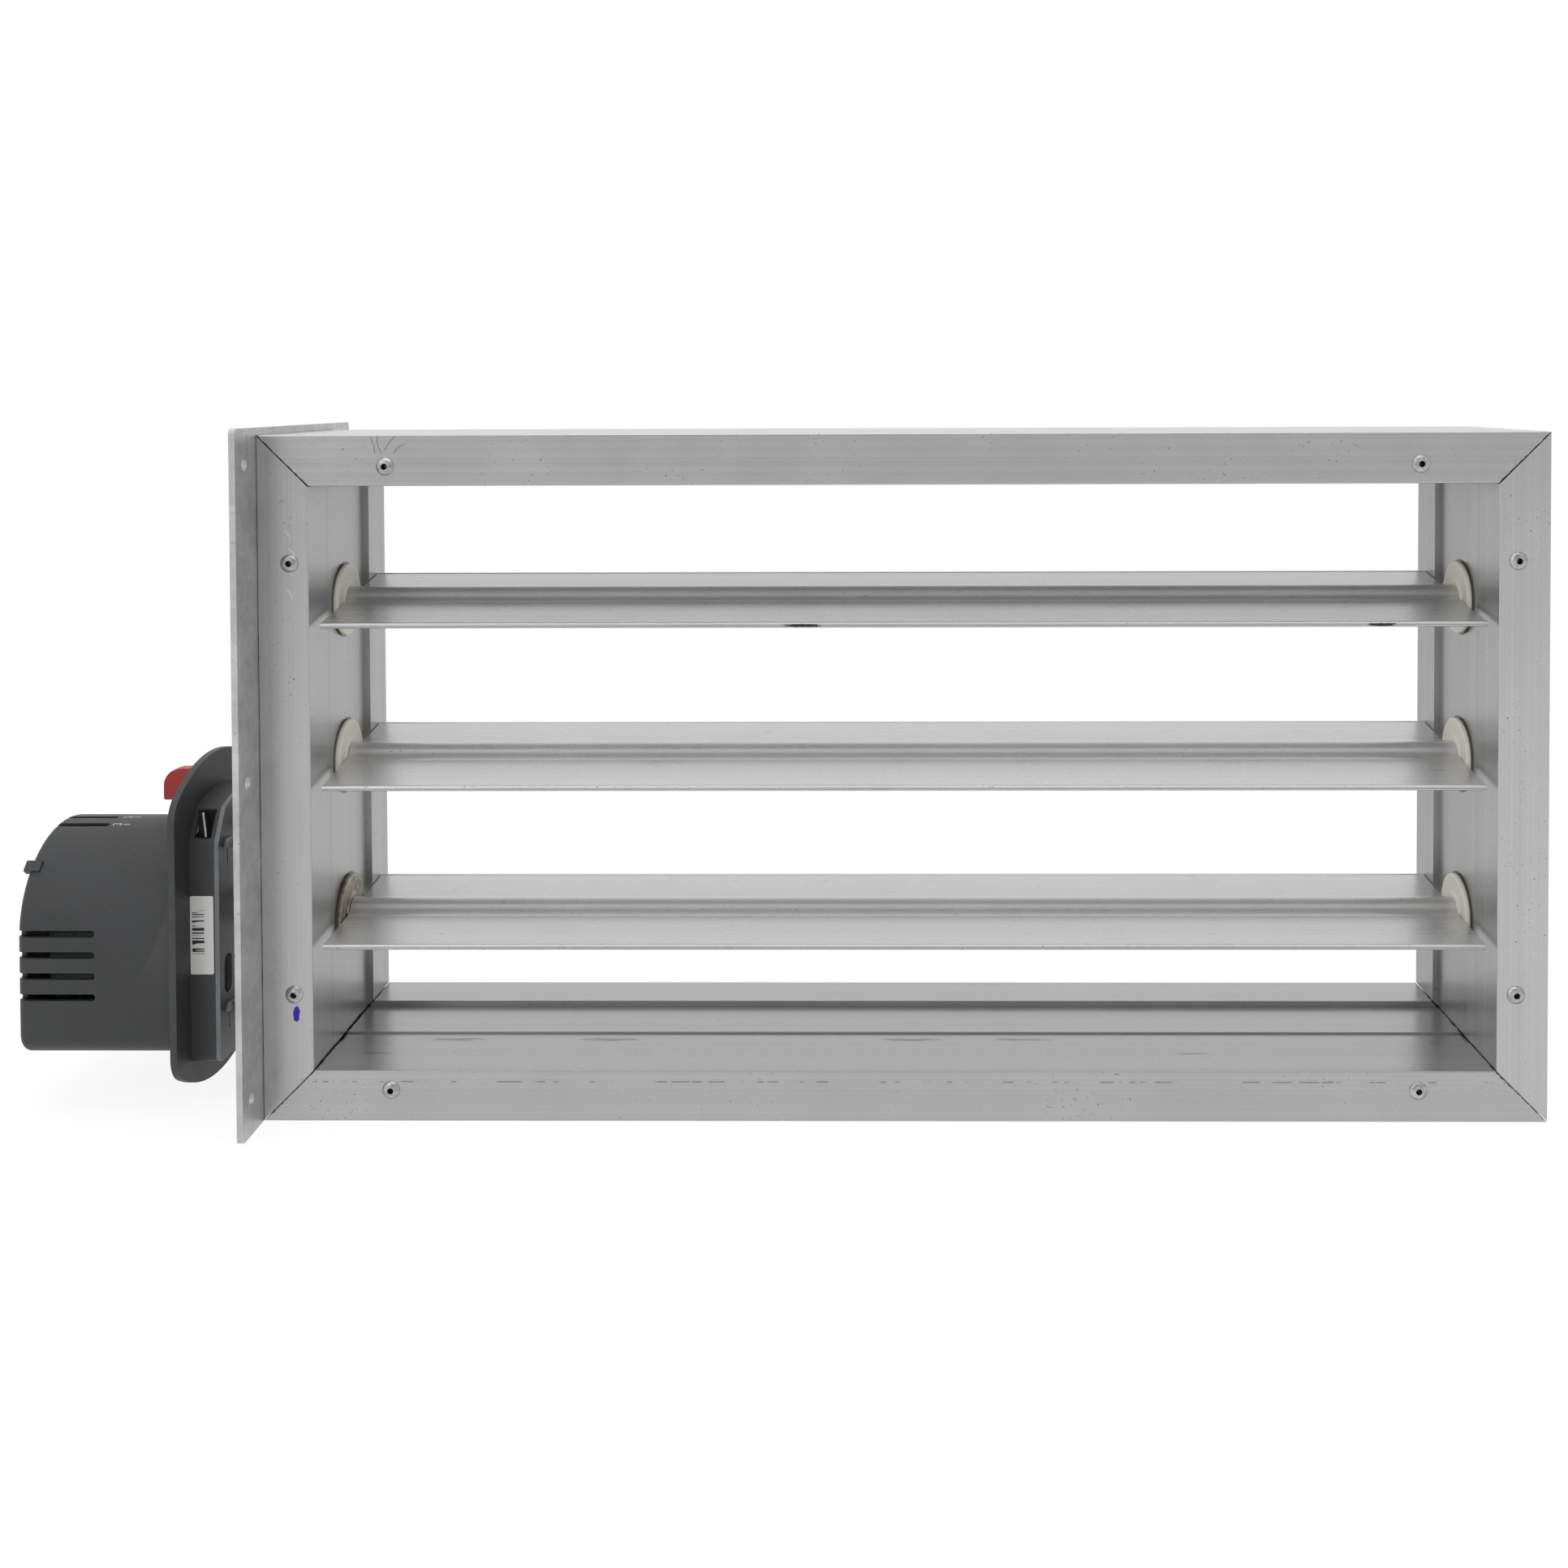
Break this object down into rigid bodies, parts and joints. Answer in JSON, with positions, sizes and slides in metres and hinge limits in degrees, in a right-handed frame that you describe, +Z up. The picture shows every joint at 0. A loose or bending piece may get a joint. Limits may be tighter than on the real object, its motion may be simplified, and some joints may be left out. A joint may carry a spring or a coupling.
{
  "type": "zone damper",
  "caption": "Duct zone damper: box-section frame with parallel pivoting blades, side mounting plate and a vented motor actuator with a manual lever.",
  "frame": {"origin": "centre of the mounting plate's duct-side face, at the centre of its corner screw holes", "axes": "+X from the mounting plate along the blades into the duct, +Y along the air flow to the back, +Z up"},
  "size_m": [0.6735, 0.146, 0.3048],
  "materials": {
    "frame_aluminium": "mill-finish extruded aluminium",
    "plate_steel": "zinc-plated steel sheet",
    "rivet_metal": "plain steel",
    "nylon": "cream nylon",
    "bronze": "tarnished bronze",
    "housing_grey": "fine-grained dark grey moulding",
    "lever_red": "red moulding",
    "motor_can": "zinc-plated can",
    "board_green": "green circuit board",
    "grommet_rubber": "black rubber"
  },
  "bodies": {
    "frame": {"actuator_base": "housing_grey", "actuator_cover": "housing_grey", "back_plate": "plate_steel", "bronze_bush": "bronze", "cable_grommet": "grommet_rubber", "circuit_board": "board_green", "corner_gussets_back": "plate_steel", "corner_gussets_front": "plate_steel", "corner_rivets_back": "rivet_metal", "corner_rivets_front": "rivet_metal", "drive_jamb": "frame_aluminium", "far_bush_bottom": "nylon", "far_bush_middle": "nylon", "far_bush_top": "nylon", "far_jamb": "frame_aluminium", "frame_bottom_rail": "frame_aluminium", "frame_top_rail": "frame_aluminium", "gear_plate": "plate_steel", "gear_plate_posts": "plate_steel", "idler_arbor": "rivet_metal", "motor": "motor_can", "mounting_plate": "plate_steel", "near_bush_bottom": "bronze", "near_bush_middle": "nylon", "near_bush_top": "nylon", "plate_rivets": "rivet_metal", "spring_clip": "rivet_metal", "standoff_screws": "rivet_metal", "standoffs": "plate_steel", "terminal_block": "nylon"},
    "bottom_blade": {"blade_bottom": "frame_aluminium", "far_axle_bottom": "rivet_metal", "drive_shaft": "rivet_metal", "crank_bottom": "plate_steel", "crank_screw_bottom": "rivet_metal", "crank_pin_bottom": "rivet_metal", "drive_hub": "rivet_metal", "output_gear": "nylon"},
    "middle_blade": {"blade_middle": "frame_aluminium", "far_axle_middle": "rivet_metal", "near_axle_middle": "rivet_metal", "crank_middle": "plate_steel", "crank_screw_middle": "rivet_metal", "crank_pin_middle": "rivet_metal"},
    "top_blade": {"blade_top": "frame_aluminium", "far_axle_top": "rivet_metal", "near_axle_top": "rivet_metal", "crank_top": "plate_steel", "crank_screw_top": "rivet_metal", "crank_pin_top": "rivet_metal"},
    "link": {"link_bar": "plate_steel"},
    "idler": {"idler_gear": "nylon"},
    "motor_rotor": {"motor_pinion": "motor_can"},
    "lever": {"setting_lever": "lever_red"}
  },
  "joints": [
    {"name": "bottom_blade_turn", "type": "hinge", "parent": "frame", "child": "bottom_blade", "pos_m": [0.28, -0.003, -0.074], "axis": [1, 0, 0], "range_deg": [-6, 77]},
    {"name": "middle_blade_turn", "type": "hinge", "parent": "frame", "child": "middle_blade", "pos_m": [0.28, -0.003, -0.00125], "axis": [1, 0, 0], "range_deg": [-7, 78]},
    {"name": "top_blade_turn", "type": "hinge", "parent": "frame", "child": "top_blade", "pos_m": [0.28, -0.003, 0.0715], "axis": [1, 0, 0], "range_deg": [-7, 78]},
    {"name": "link_pivot", "type": "hinge", "parent": "bottom_blade", "child": "link", "pos_m": [0.014, 0.01502, -0.08662], "axis": [1, 0, 0], "range_deg": [-78, 7]},
    {"name": "idler_spin", "type": "hinge", "parent": "frame", "child": "idler", "pos_m": [-0.055, -0.003, -0.1013], "axis": [1, 0, 0], "range_deg": [-298, 24.14]},
    {"name": "motor_spin", "type": "hinge", "parent": "frame", "child": "motor_rotor", "pos_m": [-0.06, 0.0163, -0.1013], "axis": [1, 0, 0], "range_deg": [-70.43, 892]},
    {"name": "lever_swing", "type": "hinge", "parent": "frame", "child": "lever", "pos_m": [-0.048, -0.003, -0.074], "axis": [1, 0, 0], "range_deg": [-25, 25]}
  ],
  "couplings": [
    {"joint": "middle_blade_turn", "follows": "bottom_blade_turn", "ratio": 1},
    {"joint": "top_blade_turn", "follows": "bottom_blade_turn", "ratio": 1},
    {"joint": "link_pivot", "follows": "bottom_blade_turn", "ratio": -1},
    {"joint": "idler_spin", "follows": "bottom_blade_turn", "ratio": -3.8571},
    {"joint": "motor_spin", "follows": "bottom_blade_turn", "ratio": 11.571}
  ]
}
